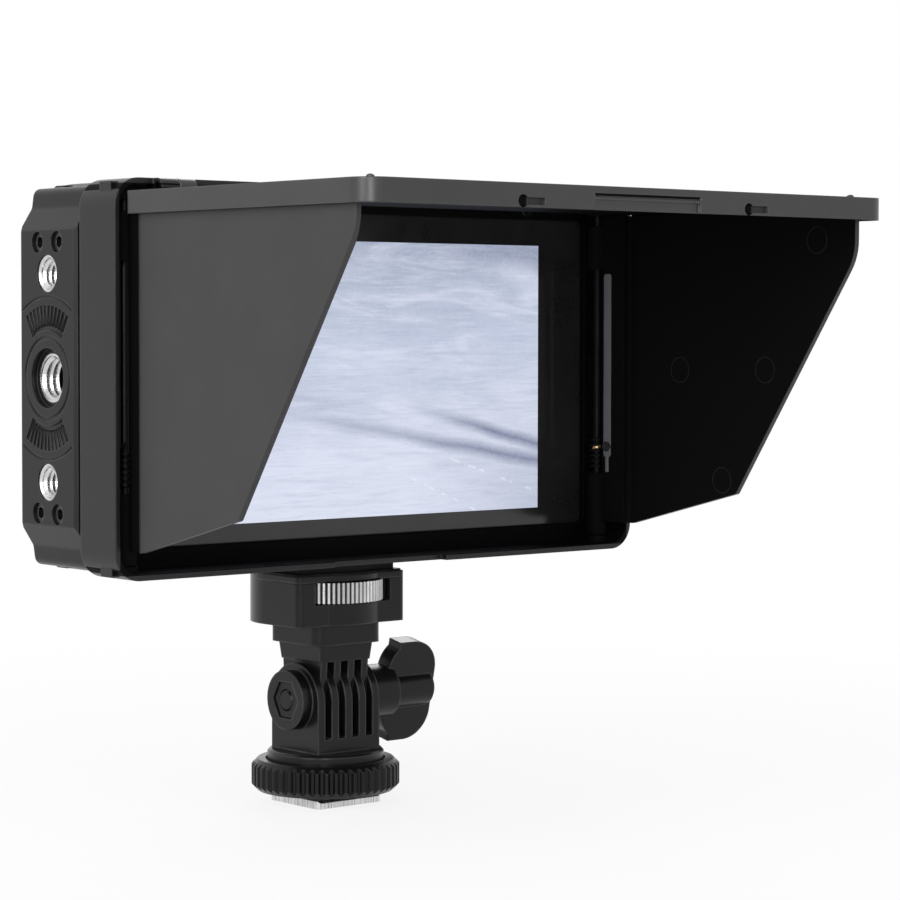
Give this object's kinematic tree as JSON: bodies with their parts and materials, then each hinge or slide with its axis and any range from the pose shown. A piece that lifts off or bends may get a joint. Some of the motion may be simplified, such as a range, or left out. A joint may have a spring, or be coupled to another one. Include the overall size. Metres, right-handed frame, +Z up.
{
  "type": "camera field monitor with sun hood",
  "caption": "Black camera monitor with a folding sun hood, threaded side plates and a battery plate, on a tilting and swivelling accessory shoe mount.",
  "frame": {"origin": "middle of the shoe foot's underside", "axes": "+Z up, the screen faces -Y, +X to the right as seen from the front"},
  "size_m": [0.1464, 0.1262, 0.141],
  "materials": {
    "steel": "satin",
    "mount_plastic": "satin",
    "dark_steel": "satin black",
    "pad_rubber": "matte",
    "wheel_aluminium": "knurled",
    "hood_plastic": "fine grain",
    "pin_steel": "satin",
    "spring_steel": "drawn wire",
    "brass": "satin",
    "cover_glass": "polished",
    "lit_panel": "lit",
    "white_sheet": "matte",
    "board_green": "lacquered",
    "speaker_grey": "satin",
    "casing_plastic": "fine grain",
    "plate_plastic": "fine grain",
    "insert_steel": "satin",
    "socket_steel": "satin",
    "socket_plastic": "gloss",
    "key_plastic": "satin"
  },
  "bodies": {
    "base": {"shoe_foot": "steel", "foot_stud": "steel", "lower_fork": "mount_plastic", "hex_nut": "dark_steel", "tilt_washer": "steel"},
    "lock_ring": {"lock_ring": "mount_plastic"},
    "knob": {"wing_knob": "mount_plastic", "tilt_bolt": "dark_steel"},
    "neck": {"upper_neck": "mount_plastic", "swivel_box": "mount_plastic", "cap_plate": "mount_plastic", "mount_pad": "pad_rubber"},
    "wheel": {"thumb_wheel": "wheel_aluminium", "quarter_screw": "steel"},
    "monitor": {"hood_frame": "hood_plastic", "hood_screws": "dark_steel", "lid_pins": "pin_steel", "left_flap_pin": "pin_steel", "right_flap_pin": "pin_steel", "front_bezel": "casing_plastic", "screen_glass": "cover_glass", "lcd_panel": "lit_panel", "backlight": "white_sheet", "main_board": "board_green", "board_screws": "steel", "speaker": "speaker_grey", "rear_housing": "casing_plastic", "housing_screws": "dark_steel", "left_side_plate": "plate_plastic", "right_side_plate": "plate_plastic", "side_plate_screws": "dark_steel", "quarter_inserts": "insert_steel", "centre_inserts": "insert_steel", "base_insert": "insert_steel", "battery_plate": "casing_plastic", "plate_screws": "dark_steel", "battery_contacts": "brass", "latch_spring": "spring_steel", "hdmi_in": "socket_steel", "hdmi_out": "socket_steel", "headphone_jack": "socket_plastic", "dc_jack": "socket_plastic", "usb_port": "socket_steel", "dial_axle": "steel"},
    "lid": {"hood_lid": "hood_plastic"},
    "left_flap": {"left_flap": "hood_plastic", "left_flap_spring": "spring_steel", "left_hinge_screw": "brass"},
    "right_flap": {"right_flap": "hood_plastic", "right_flap_spring": "spring_steel", "right_hinge_screw": "brass"},
    "battery_latch": {"battery_latch": "casing_plastic"},
    "power_button": {"power_button": "key_plastic"},
    "input_button": {"input_button": "key_plastic"},
    "menu_button": {"menu_button": "key_plastic"},
    "menu_dial": {"menu_dial": "key_plastic"}
  },
  "joints": [
    {"name": "ring_spin", "type": "hinge", "parent": "base", "child": "lock_ring", "pos_m": [0, 0, 0.0065], "axis": [0, 0, 1], "continuous": true},
    {"name": "knob_spin", "type": "hinge", "parent": "base", "child": "knob", "pos_m": [0, 0, 0.0241], "axis": [1, 0, 0], "continuous": true},
    {"name": "neck_tilt", "type": "hinge", "parent": "base", "child": "neck", "pos_m": [0, 0, 0.0241], "axis": [1, 0, 0], "range_deg": [-80, 80]},
    {"name": "wheel_spin", "type": "hinge", "parent": "neck", "child": "wheel", "pos_m": [0, 0, 0.049], "axis": [0, 0, 1], "continuous": true},
    {"name": "monitor_pan", "type": "hinge", "parent": "neck", "child": "monitor", "pos_m": [0, 0, 0.0562], "axis": [0, 0, 1], "continuous": true},
    {"name": "lid_lift", "type": "hinge", "parent": "monitor", "child": "lid", "pos_m": [0, -0.0256, 0.138], "axis": [-1, 0, 0], "range_deg": [0, 20]},
    {"name": "left_flap_fold", "type": "hinge", "parent": "monitor", "child": "left_flap", "pos_m": [-0.06775, -0.0199, 0.098], "axis": [0, 0, 1], "range_deg": [0, 90], "stiffness_Nm_per_rad": 0.01, "springref_deg": -20.05},
    {"name": "right_flap_fold", "type": "hinge", "parent": "monitor", "child": "right_flap", "pos_m": [0.06775, -0.0183, 0.098], "axis": [0, 0, -1], "range_deg": [0, 90], "stiffness_Nm_per_rad": 0.01, "springref_deg": -20.05},
    {"name": "latch_slide", "type": "slide", "parent": "monitor", "child": "battery_latch", "axis": [0, 0, -1], "range_m": [0, 0.002], "stiffness_N_per_m": 200, "springref_m": -0.002},
    {"name": "power_press", "type": "slide", "parent": "monitor", "child": "power_button", "axis": [0, 0, -1], "range_m": [0, 0.0005], "stiffness_N_per_m": 300, "springref_m": -0.001},
    {"name": "input_press", "type": "slide", "parent": "monitor", "child": "input_button", "axis": [0, 0, -1], "range_m": [0, 0.0005], "stiffness_N_per_m": 300, "springref_m": -0.001},
    {"name": "menu_press", "type": "slide", "parent": "monitor", "child": "menu_button", "axis": [0, 0, -1], "range_m": [0, 0.0005], "stiffness_N_per_m": 300, "springref_m": -0.001},
    {"name": "dial_spin", "type": "hinge", "parent": "monitor", "child": "menu_dial", "pos_m": [0.044, 0.0012, 0.1354], "axis": [1, 0, 0], "continuous": true}
  ]
}
